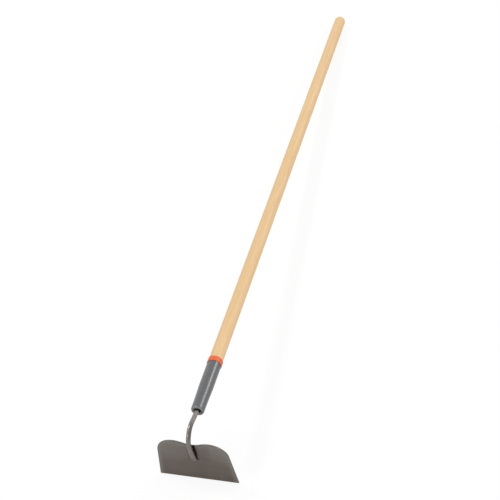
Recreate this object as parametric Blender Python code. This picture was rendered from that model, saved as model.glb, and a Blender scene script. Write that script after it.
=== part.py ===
# Garden hoe with a swan neck, made of separate pieces that join the way the real tool is joined.
# Metres, +Z up. It lies as it is put down: on its cutting edge and on the end of its grip.
# Every piece is drawn along the handle's own axis: +Y runs towards the grip, X across the
# blade, +Z away from the cutting edge, and 0 is the lower end of the ferrule. One empty then
# tilts the whole tool onto the floor and centres it.

import math

import bmesh
import bpy
from mathutils import Vector

# Fits shared by all pieces
clearance = 0.0003  # gap left between surfaces that touch
round_steps = 48  # sides of a turned piece

# Wooden handle
handle_length = 1.374  # whole stick, tenon included
handle_diameter = 0.0286  # at the collar
grip_diameter = 0.0270  # at the far end, before the dome
handle_chamfer = 0.0004  # broken edge of the shoulder and of the tenon

# Ferrule: drawn steel tube, lower end rolled in round the neck
ferrule_length = 0.1283
ferrule_wall = 0.0012
ferrule_proud = 0.00025  # how far its surface stands out of the handle's
ferrule_draw = 0.0012  # radius that it loses towards its lower end
ferrule_draw_length = 0.062
mouth_gap = 0.0005  # air round the neck where it crosses the plane of the rim
tenon_gap = 0.010  # empty length between the rim and the wood

# Plastic collar over the ferrule's mouth
collar_length = 0.0121
collar_overlap = 0.005  # how far its skirt covers the ferrule
collar_step = 0.0012  # how far it stands out from the wood
collar_rounding = 0.0005

# Nail that keeps the ferrule on the tenon, on the side that faces the ground
nail_inset = 0.029  # distance from the ferrule's mouth
nail_diameter = 0.003
nail_depth = 0.008  # length inside the ferrule's outer surface
nail_point = 0.002
nail_head_diameter = 0.0056
nail_head_height = 0.0009

# Neck: one round rod with a tang in the wood, a swan bend and a forged foot
rod_diameter = 0.0095
rod_steps = 24
tang_length = 0.060  # length inside the wood
tang_point = 0.010  # length of its tapered tip
tang_point_share = 0.55  # diameter left at the tip
rise_angle = math.radians(10.0)  # how steeply the rod rises before the bend
bend_radius = 0.0295
leg_lean = math.radians(7.0)  # angle between the rod's leg and the blade
leg_spread = 0.5  # share of the leg over which forging widens it
leg_stations = 9

# Foot: the end of the leg, forged to a flat paddle that lies on the blade's outer face
foot_drop = 0.0325  # from the blade's dipped top edge down to where the foot first touches
foot_length = 0.015  # from there to its toe
foot_width = 0.0124
foot_thickness = 0.0058
foot_toe_length = 0.005  # rounded end of the foot
foot_toe_height = 0.0016
top_squareness = 3.2  # power of the upper half's section, 2 is round
base_squareness = 6
base_flatness = 1.3  # how far past the blade the lower half would reach if it weren't flat

# Blade: pressed steel plate, ground on its outer face
axis_above_blade = 0.0317  # from the blade's dipped top edge up to the handle's axis
edge_reach = 0.0514  # how far the edge lies ahead of the ferrule
blade_angle = math.radians(85.25)  # between the blade and the handle
blade_width = 0.1624
blade_height = 0.1201
blade_thickness = 0.0032
crest_offset = 0.0364  # from the middle to the top of each shoulder
crest_dip = 0.0077  # how much lower the top edge is in the middle
side_taper = math.radians(5.6)
corner_radius = 0.002
grind_height = 0.0038
edge_land = 0.0007  # flat that the grinding leaves

# Weld beads along the foot
bead_width = 0.0022
bead_height = 0.0020
bead_start = 0.15  # share of the foot's length that is left bare at the top
bead_swell = 5  # stations over which a bead grows to its full size
bead_stations = 16

handle_radius = handle_diameter / 2
grip_radius = grip_diameter / 2
ferrule_radius = handle_radius + ferrule_proud
rod_radius = rod_diameter / 2
foot_middle = clearance + foot_thickness / 2  # off the blade, where the foot first touches
ledge = ferrule_length + clearance  # height at which the collar sits on the ferrule
collar_low = ledge - collar_overlap
collar_top = collar_low + collar_length
shoulder = collar_top + clearance
handle_start = tenon_gap
grip_tip = handle_start + handle_length
tang_end = handle_start + tang_length
nail_place = ferrule_length - nail_inset
elbow = tenon_gap / 2  # where the rod's axis turns, in the empty length
elbow_reach = 0.35 * tenon_gap  # how far the turn spreads to each side
mouth_radius = rod_radius / math.cos(rise_angle) + elbow * math.tan(rise_angle) + mouth_gap
rim_roll = (ferrule_radius - ferrule_draw - mouth_radius) / 2  # radius of the rolled rim
dip_height = blade_height - crest_dip
foot_start = dip_height - foot_drop
toe_share = 1 - foot_toe_length / foot_length  # share of the foot's length before its round end
edge_drop = axis_above_blade + dip_height * math.sin(blade_angle)


def ferrule_outside(height):
    """Outer radius of the ferrule: parallel, then drawn in by a parabola that ends level."""
    if height >= ferrule_draw_length:
        return ferrule_radius
    share = 1 - (height / ferrule_draw_length) ** 2
    return ferrule_radius - ferrule_draw * share


def tenon_outside(height):
    """Outer radius of the wood inside the ferrule."""
    return ferrule_outside(height) - ferrule_wall - clearance


def arc(centre, radius, start, end, steps):
    """Points of an arc in a plane, both ends included, angles in radians."""
    points = []
    for step in range(steps + 1):
        angle = start + (end - start) * step / steps
        points.append((centre[0] + radius * math.cos(angle), centre[1] + radius * math.sin(angle)))
    return points


def heights_between(low, high, steps):
    """Evenly spaced values from low to high, both included."""
    return [low + (high - low) * step / steps for step in range(steps + 1)]


def linear_colour(hex_code):
    """Colour for a shader from a screen colour such as E4C696."""
    channels = []
    for place in (0, 2, 4):
        value = int(hex_code[place:place + 2], 16) / 255
        channels.append(value / 12.92 if value <= 0.04045 else ((value + 0.055) / 1.055) ** 2.4)
    return (*channels, 1.0)


def make_material(name, hex_code, roughness, metallic):
    material = bpy.data.materials.new(name)
    material.use_nodes = True
    shader = material.node_tree.nodes["Principled BSDF"]
    shader.inputs["Base Color"].default_value = linear_colour(hex_code)
    shader.inputs["Roughness"].default_value = roughness
    shader.inputs["Metallic"].default_value = metallic
    material.diffuse_color = linear_colour(hex_code)
    return material


def add_piece(name, shape, parent, material=None, smooth_below=math.radians(30)):
    """Turn a bmesh into a named object under the tool's empty, shaded smooth on its rounds."""
    bmesh.ops.recalc_face_normals(shape, faces=shape.faces)
    mesh = bpy.data.meshes.new(name)
    shape.to_mesh(mesh)
    shape.free()
    for polygon in mesh.polygons:
        polygon.use_smooth = True
    mesh.set_sharp_from_angle(angle=smooth_below)
    if material:
        mesh.materials.append(material)
    piece = bpy.data.objects.new(name, mesh)
    bpy.context.scene.collection.objects.link(piece)
    piece.parent = parent
    return piece


def turned(profile, closed, steps):
    """Spin a profile of (distance along Y, radius) points round the Y axis."""
    shape = bmesh.new()
    verts = [shape.verts.new((radius, along, 0)) for along, radius in profile]
    pairs = list(zip(verts, verts[1:]))
    if closed:
        pairs.append((verts[-1], verts[0]))
    edges = [shape.edges.new(pair) for pair in pairs]
    bmesh.ops.spin(
        shape, geom=verts + edges, cent=(0, 0, 0), axis=(0, 1, 0),
        angle=2 * math.pi, steps=steps, use_merge=True,
    )
    bmesh.ops.remove_doubles(shape, verts=shape.verts, dist=0.000001)
    return shape


def lofted(rings):
    """Close a row of equally long rings of points into one solid with flat ends."""
    shape = bmesh.new()
    rows = [[shape.verts.new(point) for point in ring] for ring in rings]
    for row, following in zip(rows, rows[1:]):
        for index, vert in enumerate(row):
            after = (index + 1) % len(row)
            shape.faces.new((vert, row[after], following[after], following[index]))
    shape.faces.new(rows[0])
    shape.faces.new(reversed(rows[-1]))
    return shape


def on_blade(across, up, out):
    """Point given in the blade's own terms: X, height above the edge, distance off its outer face."""
    along = -edge_reach - up * math.cos(blade_angle) - out * math.sin(blade_angle)
    high = -edge_drop + up * math.sin(blade_angle) - out * math.cos(blade_angle)
    return Vector((across, along, high))


def build_handle(tool, nail_hole):
    """Ash stick: blind hole for the tang, tenon that follows the ferrule, shoulder, domed end."""
    bore = rod_radius + clearance
    bore_end = tang_end + clearance
    tip = rod_radius * tang_point_share + clearance
    tenon_start = tenon_outside(handle_start)
    profile = [(bore_end, 0), (bore_end, tip), (bore_end - tang_point, bore), (handle_start, bore)]
    profile.append((handle_start, tenon_start - handle_chamfer))
    profile.append((handle_start + handle_chamfer, tenon_start))
    heights = heights_between(handle_start + handle_chamfer, ferrule_draw_length, 8)
    profile += [(height, tenon_outside(height)) for height in heights[1:]]
    profile.append((shoulder, tenon_outside(shoulder)))
    profile.append((shoulder, handle_radius - handle_chamfer))
    profile.append((shoulder + handle_chamfer, handle_radius))
    dome = arc((grip_tip - grip_radius, 0), grip_radius, math.pi / 2, 0, 12)
    profile += [(along, max(radius, 0)) for along, radius in dome[:-1]]
    profile.append((grip_tip, 0))
    wood = make_material("ash_handle", "E4C696", 0.45, 0.0)
    handle = add_piece("handle", turned(profile, False, round_steps), tool, wood)
    cut(handle, nail_hole)
    return handle


def build_ferrule(tool, nail_hole):
    """Tapered tube, open at its mouth, with its rim rolled in round the neck by half a circle."""
    centre = (rim_roll, mouth_radius + rim_roll)
    heights = heights_between(rim_roll, ferrule_draw_length, 8)
    outside = [(height, ferrule_outside(height)) for height in heights]
    inside = [(height, radius - ferrule_wall) for height, radius in outside]
    profile = [(ferrule_length, ferrule_radius)] + outside[::-1]
    profile += arc(centre, rim_roll, math.pi / 2, math.pi * 3 / 2, 12)[1:]
    profile += arc(centre, rim_roll - ferrule_wall, math.pi * 3 / 2, math.pi / 2, 10)[:-1]
    profile += inside + [(ferrule_length, ferrule_radius - ferrule_wall)]
    steel = make_material("coated_ferrule", "6E6F71", 0.35, 0.6)
    ferrule = add_piece("ferrule", turned(profile, True, round_steps), tool, steel)
    cut(ferrule, nail_hole)
    return ferrule


def build_collar(tool):
    """Ring with a skirt over the ferrule and a ledge between its mouth and the wood's shoulder."""
    outer = handle_radius + collar_step
    skirt = ferrule_radius + clearance
    bore = tenon_outside(ledge) + clearance
    low_centre = (collar_low + collar_rounding, outer - collar_rounding)
    top_centre = (collar_top - collar_rounding, outer - collar_rounding)
    profile = arc(low_centre, collar_rounding, math.pi, math.pi / 2, 3)
    profile += arc(top_centre, collar_rounding, math.pi / 2, 0, 3)
    profile += [(collar_top, bore), (ledge, bore), (ledge, skirt), (collar_low, skirt)]
    plastic = make_material("moulded_collar", "EC7852", 0.4, 0.0)
    return add_piece("collar", turned(profile, True, round_steps), tool, plastic)


def nail_seat():
    return ferrule_outside(nail_place) + clearance


def build_nail_hole(tool):
    """Cutter for the nail's hole through the ferrule's wall and into the tenon."""
    radius = nail_diameter / 2 + clearance
    bottom = nail_seat() - nail_depth - clearance
    top = nail_seat() + nail_head_height
    profile = [(bottom, 0), (bottom, radius), (top, radius), (top, 0)]
    cutter = add_piece("nail_hole_cutter", turned(profile, False, rod_steps), tool)
    cutter.location = (0, nail_place, 0)
    cutter.rotation_euler = (-math.pi / 2, 0, 0)
    cutter.hide_render = True
    cutter.display_type = "WIRE"
    return cutter


def build_nail(tool):
    """Round nail with a low domed head, driven in from below."""
    radius = nail_diameter / 2
    seat = nail_seat()
    head = nail_head_diameter / 2
    tip = seat - nail_depth
    profile = [(tip, 0), (tip, radius / 3), (tip + nail_point, radius), (seat, radius), (seat, head)]
    for step in range(1, 5):
        angle = step * math.pi / 8
        profile.append((seat + nail_head_height * math.sin(angle), head * math.cos(angle)))
    profile[-1] = (seat + nail_head_height, 0)
    steel = make_material("nail_steel", "77787A", 0.4, 0.8)
    nail = add_piece("ferrule_nail", turned(profile, False, rod_steps), tool, steel)
    nail.location = (0, nail_place, 0)
    nail.rotation_euler = (-math.pi / 2, 0, 0)
    return nail


def cut(piece, cutter):
    """Keep a hole as a live exact Boolean on the piece."""
    hole = piece.modifiers.new("nail_hole", "BOOLEAN")
    hole.operation = "DIFFERENCE"
    hole.solver = "EXACT"
    hole.object = cutter


def bend_points(corner, before, after, radius, steps):
    """Round a corner between two straight runs: (point, direction) pairs along the arc."""
    turn = before.angle_signed(after)
    reach = radius * math.tan(abs(turn) / 2)
    side = 1 if turn > 0 else -1
    start = corner - before * reach
    centre = start + Vector((before.y, -before.x)) * radius * side
    pairs = []
    for step in range(steps + 1):
        angle = -turn * step / steps
        direction = Vector((
            before.x * math.cos(angle) - before.y * math.sin(angle),
            before.x * math.sin(angle) + before.y * math.cos(angle),
        ))
        point = centre + Vector((-direction.y, direction.x)) * radius * side
        pairs.append((point, direction))
    return pairs


def neck_route():
    """Centre line of the rod in the plane of Y and Z, from the tang's tip to the foot."""
    inward = Vector((-1, 0))
    rising = Vector((-math.cos(rise_angle), math.sin(rise_angle)))
    leg = Vector((math.cos(blade_angle - leg_lean), -math.sin(blade_angle - leg_lean)))
    first = Vector((elbow, 0))
    seat = on_blade(0, foot_start, foot_middle).yz
    # the rising run and the leg, carried on, meet at the corner of the swan bend
    gap = seat - first
    along = (gap.x * leg.y - gap.y * leg.x) / (rising.x * leg.y - rising.y * leg.x)
    corner = first + rising * along
    elbow_radius = elbow_reach / math.tan(rise_angle / 2)
    route = [(Vector((tang_end, 0)), inward), (Vector((tang_end - tang_point, 0)), inward)]
    route.append((Vector((handle_start, 0)), inward))
    route += bend_points(first, inward, rising, elbow_radius, 3)
    route += bend_points(corner, rising, leg, bend_radius, 22)
    return route


def eased(share):
    """Half a wave that goes level from 0 to level at 1."""
    return (1 - math.cos(math.pi * max(0, min(1, share)))) / 2


def foot_plan(share):
    """Half width of the foot at a share of its length, 0 where it starts and 1 at its toe."""
    past_straight = max(0, (share - toe_share) / (1 - toe_share))
    return foot_width / 2 * math.sqrt(max(0, 1 - past_straight ** 2))


def foot_rise(share):
    """Half height of the foot at a share of its length, eased down to the toe."""
    return foot_thickness / 2 + (foot_toe_height - foot_thickness) / 2 * eased(share)


def forged_ring(up, middle, half_width, half_height, forged):
    """Section square to the blade: round where forged is 0, flat above and below where it is 1."""
    flatness = 1 + (base_flatness - 1) * forged
    ring = []
    for step in range(rod_steps):
        angle = 2 * math.pi * step / rod_steps
        cosine = math.cos(angle)
        sine = math.sin(angle)
        squareness = 2 + ((top_squareness if sine >= 0 else base_squareness) - 2) * forged
        across = math.copysign(abs(cosine) ** (2 / squareness), cosine)
        high = abs(sine) ** (2 / squareness)
        if sine < 0:
            high = -min(1, flatness * high)
        ring.append(on_blade(half_width * across, up, middle + half_height * high))
    return ring


def leg_rings(leg_length):
    """Sections of the straight leg: the round rod widens and flattens on its way to the foot."""
    rings = []
    for share in heights_between(0, 1, leg_stations)[1:-1]:
        left = leg_length * (1 - share)
        widened = eased(share / leg_spread)
        flattened = eased(share)
        up = foot_start + left * math.cos(leg_lean)
        middle = foot_middle + left * math.sin(leg_lean)
        half_width = rod_radius + (foot_width / 2 - rod_radius) * widened
        half_height = rod_radius + (foot_thickness / 2 - rod_radius) * flattened
        rings.append(forged_ring(up, middle, half_width, half_height, flattened))
    return rings


def foot_rings():
    """Sections of the foot on the blade, closer together round the toe."""
    shares = heights_between(0, toe_share, 5)
    shares += [toe_share + (1 - toe_share) * math.sin(math.radians(20 * step)) for step in (1, 2, 3, 4)]
    rings = []
    for share in shares:
        up = foot_start - foot_length * share
        rise = foot_rise(share)
        rings.append(forged_ring(up, clearance + rise, foot_plan(share), rise, 1))
    return rings


def build_neck(tool):
    """Rod with a tapered tang, swept along the neck's route and forged flat at the foot."""
    rings = []
    route = neck_route()
    for place, (point, direction) in enumerate(route):
        radius = rod_radius * tang_point_share if place == 0 else rod_radius
        outward = Vector((direction.y, -direction.x))
        ring = []
        for step in range(rod_steps):
            angle = 2 * math.pi * step / rod_steps
            offset = outward * radius * math.sin(angle)
            ring.append((radius * math.cos(angle), point.x + offset.x, point.y + offset.y))
        rings.append(ring)
    bend_end = route[-1][0]
    rings += leg_rings((on_blade(0, foot_start, foot_middle).yz - bend_end).length)
    rings += foot_rings()
    steel = make_material("forged_neck", "8B867E", 0.35, 0.8)
    return add_piece("neck", lofted(rings), tool, steel)


def blade_outline():
    """Outline as (X, height) points: ground edge, tapered sides, round shoulders, dipped top."""
    half = blade_width / 2
    sine = math.sin(side_taper)
    cosine = math.cos(side_taper)
    # the shoulder's radius follows from touching both the side and the crest's height
    shoulder_radius = (cosine * (half - crest_offset) - sine * blade_height) / (1 - sine)
    corner = (half - corner_radius * (1 + sine) / cosine, corner_radius)
    crest = (crest_offset, blade_height - shoulder_radius)
    right = arc(corner, corner_radius, -math.pi / 2, side_taper, 4)
    right += arc(crest, shoulder_radius, side_taper, math.pi / 2, 20)
    for step in range(1, 13):
        across = crest_offset * (1 - step / 12)
        wave = (1 - math.cos(math.pi * across / crest_offset)) / 2
        right.append((across, blade_height - crest_dip * (1 - wave)))
    left = [(-across, up) for across, up in reversed(right[:-1])]
    return right + left


def build_blade(tool):
    """Flat plate with its lower edge ground away on the outer face down to a narrow land."""
    shape = bmesh.new()
    verts = [shape.verts.new((across, up, 0)) for across, up in blade_outline()]
    plate = shape.faces.new(verts)
    sides = bmesh.ops.extrude_face_region(shape, geom=[plate])
    moved = [item for item in sides["geom"] if isinstance(item, bmesh.types.BMVert)]
    bmesh.ops.translate(shape, verts=moved, vec=(0, 0, -blade_thickness))
    slope = Vector((0, -(blade_thickness - edge_land), grind_height)).normalized()
    everything = shape.verts[:] + shape.edges[:] + shape.faces[:]
    ground = bmesh.ops.bisect_plane(
        shape, geom=everything, plane_co=(0, grind_height, 0), plane_no=slope, clear_outer=True,
    )
    rim = [item for item in ground["geom_cut"] if isinstance(item, bmesh.types.BMEdge)]
    bmesh.ops.edgeloop_fill(shape, edges=rim)
    for vert in shape.verts:
        vert.co = on_blade(vert.co.x, vert.co.y, vert.co.z)
    steel = make_material("pressed_blade", "6A615C", 0.35, 0.8)
    return add_piece("blade", shape, tool, steel)


def bead_path():
    """Stations of a weld bead: (X, height, outward X, outward height, share of the foot)."""
    half = foot_width / 2
    toe_top = foot_start - foot_length * toe_share
    stations = []
    straight = bead_stations // 2
    for share in heights_between(bead_start, toe_share, straight)[:-1]:
        stations.append((foot_plan(share), foot_start - foot_length * share, 1, 0, share))
    for step in range(bead_stations - straight + 1):
        angle = math.pi / 2 * step / (bead_stations - straight)
        outward = Vector((math.cos(angle) / half, -math.sin(angle) / foot_toe_length)).normalized()
        across = half * math.cos(angle)
        up = toe_top - foot_toe_length * math.sin(angle)
        share = toe_share + (1 - toe_share) * math.sin(angle)
        stations.append((across, up, outward.x, outward.y, share))
    return stations


def build_weld(tool, name, side, material):
    """Bead that fills the corner between the foot's flank and the blade on one side."""
    rings = []
    stations = bead_path()
    for place, (across, up, out_across, out_up, share) in enumerate(stations):
        swell = min(1, (place + 1) / bead_swell)
        height = min(bead_height * swell, foot_rise(share))
        width = bead_width * swell
        section = [(0, 0)] + [
            (width * math.sin(angle), height * math.cos(angle))
            for angle in heights_between(0, math.pi / 2, 5)
        ]
        ring = []
        for off, high in section:
            reach = clearance + off
            x = across + out_across * reach + clearance / 2
            ring.append(on_blade(side * x, up + out_up * reach, clearance + high))
        rings.append(ring)
    return add_piece(name, lofted(rings), tool, material, math.radians(50))


def lay_on_floor(tool, pieces):
    """Tilt the tool until edge and grip touch the floor, then centre it over the origin."""
    edge = on_blade(0, 0, -blade_thickness)
    reach = grip_tip - grip_radius - edge.y
    drop = -edge.z
    tilt = math.atan2(drop, reach) - math.asin(grip_radius / math.hypot(reach, drop))
    tool.rotation_euler = (-tilt, 0, 0)
    bpy.context.view_layer.update()
    corners = [piece.matrix_world @ vert.co for piece in pieces for vert in piece.data.vertices]
    middle = (min(point.y for point in corners) + max(point.y for point in corners)) / 2
    tool.location = (0, -middle, -min(point.z for point in corners))
    bpy.context.view_layer.update()


def main():
    for item in list(bpy.data.objects):
        bpy.data.objects.remove(item, do_unlink=True)
    tool = bpy.data.objects.new("tool", None)
    bpy.context.scene.collection.objects.link(tool)
    nail_hole = build_nail_hole(tool)
    pieces = [build_handle(tool, nail_hole), build_ferrule(tool, nail_hole), build_collar(tool)]
    pieces += [build_nail(tool), build_neck(tool), build_blade(tool)]
    weld_steel = make_material("weld_steel", "7A726B", 0.4, 0.8)
    pieces.append(build_weld(tool, "weld_left", -1, weld_steel))
    pieces.append(build_weld(tool, "weld_right", 1, weld_steel))
    lay_on_floor(tool, pieces)


main()
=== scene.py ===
# Looks of a swan-neck garden hoe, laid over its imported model: a lacquered ash stick, a coated
# ferrule with a moulded collar, a forged neck and a pressed blade, photographed on white.
# Metres. Every shape is worked out in the hoe's own place, as it would be held out level:
# x across the blade, y along the stick towards the grip, z away from the cutting edge, and
# y = 0 at the lower end of the ferrule. layDown() then puts it on the floor as the model lies.

import math

import bpy
import numpy as np
from mathutils import Matrix, Vector


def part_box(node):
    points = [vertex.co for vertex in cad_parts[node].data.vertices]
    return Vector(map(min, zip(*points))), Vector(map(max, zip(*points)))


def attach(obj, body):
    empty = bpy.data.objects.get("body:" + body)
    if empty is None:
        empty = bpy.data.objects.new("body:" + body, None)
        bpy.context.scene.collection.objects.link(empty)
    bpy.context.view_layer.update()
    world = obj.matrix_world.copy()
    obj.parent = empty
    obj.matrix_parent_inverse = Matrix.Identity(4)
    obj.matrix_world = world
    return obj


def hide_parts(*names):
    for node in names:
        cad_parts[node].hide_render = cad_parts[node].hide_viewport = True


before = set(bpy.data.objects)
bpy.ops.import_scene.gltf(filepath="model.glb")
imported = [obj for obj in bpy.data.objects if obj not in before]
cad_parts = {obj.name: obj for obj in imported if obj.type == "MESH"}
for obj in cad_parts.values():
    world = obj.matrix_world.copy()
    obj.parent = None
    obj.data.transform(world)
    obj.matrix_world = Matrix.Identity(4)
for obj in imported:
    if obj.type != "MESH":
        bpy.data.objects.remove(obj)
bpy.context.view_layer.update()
print("hoe: packed model loaded,", len(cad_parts), "nodes")

fit = 0.0003  # gap that the model leaves between touching pieces


def faceGrid(rows, columns, closeRows=False, closeColumns=True):
    # Four-sided faces between neighbouring points of a grid whose points are counted row by row.
    # A closed direction joins its last line of points to its first.
    row = np.arange(rows if closeRows else rows - 1)[:, None]
    column = np.arange(columns if closeColumns else columns - 1)[None, :]
    here = row * columns
    there = (row + 1) % rows * columns
    beside = (column + 1) % columns
    quads = np.stack([here + column, here + beside, there + beside, there + column], axis=-1)
    return quads.reshape(-1, 4)


def fan(pole, line):
    # Triangles from one pole point to a closed line of points
    return np.stack([np.full(len(line), pole), np.roll(line, -1), line], axis=-1)


def addObject(name, data):
    # A new object, put into the scene
    thing = bpy.data.objects.new(name, data)
    bpy.context.scene.collection.objects.link(thing)
    return thing


def makePiece(name, points, quads, triangles=None, crease=38, **values):
    # Points and faces become a mesh on the floor. The volume that the faces enclose, summed over
    # corner products, tells which way they point, and they are turned round if it is negative.
    # Edges bent by more degrees than the crease stay sharp. Values are one number for each point.
    placed = layDown(np.asarray(points, float).reshape(-1, 3))
    triangles = np.empty((0, 3), int) if triangles is None else triangles
    halves = np.concatenate([quads[:, [0, 1, 2]], quads[:, [0, 2, 3]], triangles])
    a, b, c = (placed[halves[:, k]] for k in range(3))
    if np.einsum("ij,ij->", a, np.cross(b, c)) < 0:
        quads, triangles = quads[:, ::-1], triangles[:, ::-1]
    mesh = bpy.data.meshes.new(name)
    mesh.from_pydata(placed.tolist(), [], quads.tolist() + triangles.tolist())
    mesh.polygons.foreach_set("use_smooth", np.ones(len(mesh.polygons), bool))
    mesh.set_sharp_from_angle(angle=math.radians(crease))
    for key, numbers in values.items():
        layer = mesh.attributes.new(key, "FLOAT", "POINT")
        layer.data.foreach_set("value", np.asarray(numbers, np.float32).ravel())
    mesh.validate()
    return addObject(name, mesh)


def finishPiece(piece, material, node):
    # Rides on the hoe's one body and stands in for its CAD node, which is hidden
    piece.data.materials.append(material)
    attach(piece, "root")
    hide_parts(node)
    ownBox = np.array([piece.bound_box[0], piece.bound_box[6]])
    off = np.abs(ownBox - np.array(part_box(node))).max()
    print(f"hoe: {piece.name}, {len(piece.data.polygons)} faces,",
          f"box within {off * 1000:.2f} mm of the model")


def capped(rings, poles=None):
    # Closed rings joined one to the next, with triangles from a pole to the first and to the last.
    # The poles are the middles of those rings if none are given.
    poles = rings[[0, -1]].mean(axis=1) if poles is None else poles
    count, sides = rings.shape[:2]
    line = np.arange(sides)
    last = count * sides
    triangles = np.concatenate([fan(last, line[::-1]), fan(last + 1, last - sides + line)])
    return np.concatenate([rings.reshape(-1, 3), poles]), faceGrid(count, sides), triangles


def turned(profile, sides, closed=False):
    # Each (along, radius) point goes round the stick's axis: x = radius cos, z = radius sin.
    # An open profile starts and ends on the axis, and those two points are poles.
    profile = np.asarray(profile, float)
    body = profile if closed else profile[1:-1]
    angle = 2 * np.pi * np.arange(sides) / sides
    circle = np.stack([np.cos(angle), np.zeros(sides), np.sin(angle)], axis=-1)
    rings = body[:, None, 1:] * circle + body[:, None, :1] * np.array([0, 1, 0])
    if closed:
        return rings.reshape(-1, 3), faceGrid(len(body), sides, closeRows=True), None
    return capped(rings, profile[[0, -1], :1] * np.array([0, 1, 0]))


def arcLine(centre, radius, start, end, steps):
    # Points of an arc in a plane, both ends included, angles in degrees
    angle = np.radians(np.linspace(start, end, steps + 1))
    return centre + radius * np.stack([np.cos(angle), np.sin(angle)], axis=-1)


def eased(share):
    # Half a wave that goes level from 0 to level at 1
    return (1 - np.cos(np.pi * np.clip(share, 0, 1))) / 2


def ramp(value, start, over):
    # 0 up to the start, then eased up to 1 over the given length. A negative length turns it round.
    return eased((value - start) / over)


tube = {
    "length": 0.1283,
    "radius": 0.01455,
    "wall": 0.0012,
    "draw": 0.0012,  # radius lost towards the lower end
    "drawLength": 0.062,
    "lip": 0.0004,  # rounding of the upper edge
    "mouthAir": 0.0005,  # air round the neck where it crosses the plane of the rim
    "rimWear": 0.0022,  # how far from the lower rim the coat is worn
    "topWear": 0.0006,  # and from the upper edge
    "sides": 128,
}
ledge = tube["length"] + fit  # the collar rests here


def tubeRadius(along):
    # Parallel, then drawn in by a parabola that ends level at the lower rim
    share = 1 - np.minimum(np.asarray(along, float) / tube["drawLength"], 1) ** 2
    return tube["radius"] - tube["draw"] * share


def tenonRadius(along):
    # The ferrule's inside, less the gap
    return tubeRadius(along) - tube["wall"] - fit


def buildTube():
    # Closed profile: upper edge, outside down to the rim, half a circle that rolls the rim in as
    # far as the hole, and back inside
    lip = tube["lip"]
    wall = tube["wall"]
    roll = float(tubeRadius(0) - mouthRadius) / 2
    rimCentre = (roll, mouthRadius + roll)
    along = np.linspace(roll, tube["drawLength"], 24)
    straight = np.linspace(tube["drawLength"], tube["length"] - lip, 14)[1:]
    outside = np.concatenate([along, straight])
    lipCentre = (tube["length"] - lip, tube["radius"] - lip)
    skin = np.concatenate([
        arcLine(lipCentre, lip, 0, 90, 5)[:-1],
        np.stack([outside[::-1], tubeRadius(outside[::-1])], axis=-1),
        arcLine(rimCentre, roll, 90, 270, 28)[1:],
    ])
    lining = np.concatenate([
        arcLine(rimCentre, roll - wall, 270, 90, 18),
        np.stack([outside, tubeRadius(outside) - wall], axis=-1)[1:],
        [(tube["length"], tube["radius"] - wall)],
    ])
    points, quads, _ = turned(np.concatenate([skin, lining]), tube["sides"], closed=True)
    # the coat is worn on the rounds that get knocked, and the hollow is painted near black as its shade
    low = skin[:, 0] / tube["rimWear"]
    high = (tube["length"] - skin[:, 0]) / tube["topWear"]
    wear = np.append(np.exp(-low ** 2) + np.exp(-high ** 2), np.zeros(len(lining)))
    hollow = np.append(np.zeros(len(skin)), np.ones(len(lining)))
    return makePiece("drawn_ferrule", points, quads, wear=np.repeat(wear, tube["sides"]),
                     hollow=np.repeat(hollow, tube["sides"]))


ring = {
    "length": 0.0121,
    "overlap": 0.005,  # skirt over the ferrule
    "step": 0.0012,  # stands out from the wood by this much
    "rounding": 0.0005,
    "seamPlace": 0.62,  # share of its length below the parting line that the mould leaves
    "seamWidth": 0.0005,
    "seamDepth": 0.00008,
    "sides": 144,
}
collarLow = ledge - ring["overlap"]
collarTop = collarLow + ring["length"]
shoulder = collarTop + fit  # the wood's shoulder sits on the collar


def buildCollar():
    # Closed profile: rounded outside with the mould's parting line, bore, ledge and skirt
    outer = stick["radius"] + ring["step"]
    skirt = tube["radius"] + fit
    bore = tenonRadius(ledge) + fit
    rounding = ring["rounding"]
    seam = np.linspace(-1, 1, 9)
    middle = collarLow + ring["length"] * ring["seamPlace"]
    seamLine = np.stack([middle + seam * ring["seamWidth"],
                         outer - ring["seamDepth"] * (1 + np.cos(np.pi * seam)) / 2], axis=-1)
    profile = np.concatenate([
        arcLine((collarLow + rounding, outer - rounding), rounding, 180, 90, 8),
        seamLine,
        arcLine((collarTop - rounding, outer - rounding), rounding, 90, 0, 8),
        [(collarTop, bore), (ledge, bore), (ledge, skirt), (collarLow, skirt)],
    ])
    return makePiece("moulded_collar", *turned(profile, ring["sides"], closed=True))


stick = {
    "length": 1.374,  # tenon included
    "radius": 0.0143,  # at the collar
    "gripRadius": 0.0135,
    "chamfer": 0.0004,
    "start": 0.010,  # the tenon begins this far inside the ferrule
    "trim": 0.00002,  # the dome is finer than the model's, so it ends earlier, inside its box
    "sides": 128,
    "step": 0.008,  # distance between the rings of points
}
gripTip = stick["start"] + stick["length"]


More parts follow.
